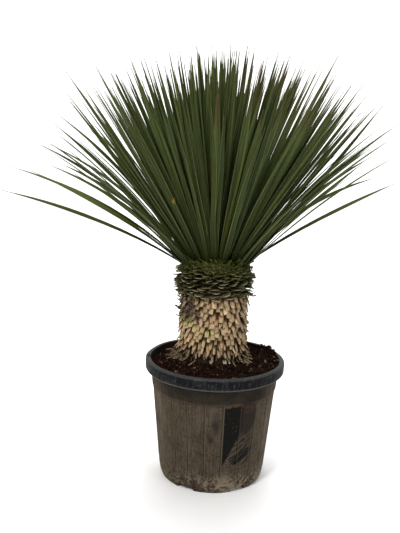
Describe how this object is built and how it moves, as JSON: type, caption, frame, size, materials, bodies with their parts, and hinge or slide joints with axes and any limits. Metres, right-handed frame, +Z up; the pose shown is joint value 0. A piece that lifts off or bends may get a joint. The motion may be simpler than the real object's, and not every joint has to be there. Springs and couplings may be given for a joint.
{
  "type": "potted yucca",
  "caption": "Yucca with a dense fan of stiff narrow leaves on a short shaggy stem, standing in compost in a black nursery pot.",
  "frame": {"origin": "centre of the pot's underside, on the round flat pad inside its foot ring", "axes": "+Z up along the stem, -Y towards the viewer of the picture, +X to the right there"},
  "size_m": [1.0892, 0.9262, 1.1899],
  "materials": {
    "pot_plastic": "black nursery plastic, its wall coated with dried grey-brown mud below a bare rim",
    "bark_compost": "damp dark red-brown bark compost",
    "dry_leaf_base": "dry tan fibrous leaf bases with patches of moss",
    "cut_leaf_base": "dark green trimmed leaf bases with paler cut ends",
    "yucca_leaf": "waxy blue-green to olive blades with brown tips"
  },
  "bodies": {
    "root": {"pot": "pot_plastic", "compost": "bark_compost", "dry_stem": "dry_leaf_base", "trimmed_collar": "cut_leaf_base", "leaf_head": "yucca_leaf"}
  },
  "joints": []
}
